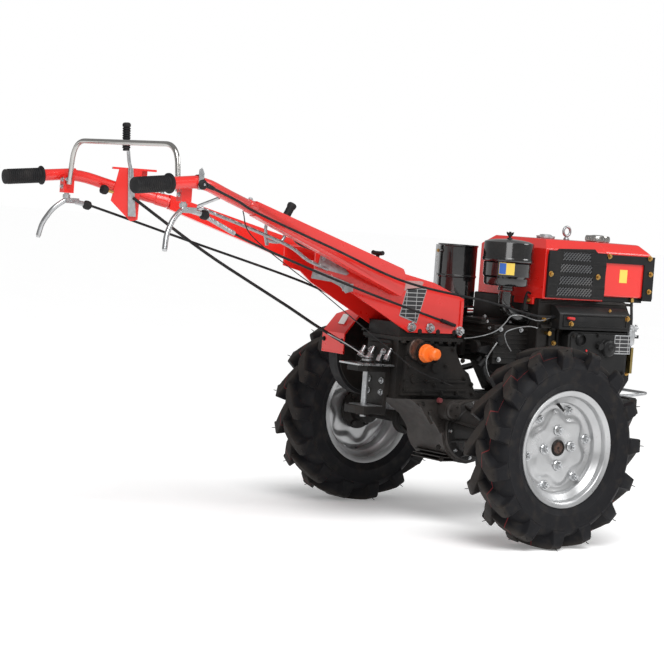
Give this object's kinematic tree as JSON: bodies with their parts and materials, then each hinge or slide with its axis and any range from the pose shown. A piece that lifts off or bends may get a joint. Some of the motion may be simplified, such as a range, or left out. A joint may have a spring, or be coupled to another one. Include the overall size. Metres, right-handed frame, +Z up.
{
  "type": "walking tractor",
  "caption": "Two-wheel walking tractor with long rear handles, lug tyres, a gearbox with rear hitch and a horizontal diesel engine on a front frame.",
  "frame": {"origin": "centre of the bounding box's bottom face, on the ground", "axes": "+X forward towards the engine, +Y to the operator's left, +Z up"},
  "size_m": [2.126, 1.06, 1.105],
  "materials": {
    "black_tin": "gloss",
    "cast_black": "matte",
    "red_paint": "gloss",
    "zinc_steel": "satin",
    "rubber": "matte",
    "black_paint": "satin",
    "chrome": "polished",
    "cast_aluminium": "satin",
    "orange_plastic": "gloss",
    "silver_rim": "satin",
    "tyre": "matte"
  },
  "bodies": {
    "chassis": {"air_cleaner_bowl": "black_tin", "air_cleaner_cap": "black_tin", "axle_housing_left": "cast_black", "axle_housing_right": "cast_black", "belt_guard": "red_paint", "clutch_pulley": "cast_black", "clutch_rod": "zinc_steel", "console_frame": "red_paint", "crankcase": "cast_black", "cylinder_head": "cast_black", "drive_belts": "rubber", "engine_frame": "black_paint", "final_drive_case": "cast_black", "flywheel": "cast_black", "front_bumper": "black_paint", "front_loop": "zinc_steel", "fuel_cap": "chrome", "fuel_filter": "cast_aluminium", "fuel_hose": "rubber", "fuel_tank": "red_paint", "gear_case_cover": "cast_black", "gearbox_housing": "cast_black", "grip_left": "rubber", "grip_right": "rubber", "guard_bar": "chrome", "handle_left": "red_paint", "handle_right": "red_paint", "hitch_bracket": "cast_black", "hitch_pin": "zinc_steel", "intake_elbow": "black_tin", "lifting_eye": "zinc_steel", "muffler": "black_tin", "pto_cap": "orange_plastic", "pump_guard": "black_paint", "radiator_cap": "black_paint", "radiator_grille": "black_paint", "radiator_hood": "red_paint", "shift_knob": "rubber", "shift_lever": "zinc_steel", "shift_rod": "rubber", "steering_cable_left": "rubber", "steering_cable_right": "rubber", "steering_lever_left": "cast_aluminium", "steering_lever_right": "cast_aluminium", "tank_bracket": "black_paint", "throttle_cable": "rubber", "throttle_lever": "zinc_steel"},
    "wheel_left": {"tyre_left": "tyre", "rim_left": "silver_rim", "hub_left": "cast_black"},
    "wheel_right": {"tyre_right": "tyre", "rim_right": "silver_rim", "hub_right": "cast_black"},
    "front_stand_body": {"front_stand": "black_paint"}
  },
  "joints": [
    {"name": "wheel_left_spin", "type": "hinge", "parent": "chassis", "child": "wheel_left", "pos_m": [0.30174, 0.458, 0.285], "axis": [0, 1, 0], "continuous": true},
    {"name": "wheel_right_spin", "type": "hinge", "parent": "chassis", "child": "wheel_right", "pos_m": [0.30174, -0.458, 0.285], "axis": [0, 1, 0], "continuous": true},
    {"name": "front_stand_swing", "type": "hinge", "parent": "chassis", "child": "front_stand_body", "pos_m": [0.84374, 0, 0.304], "axis": [0, 1, 0], "range_deg": [0, 85]}
  ]
}
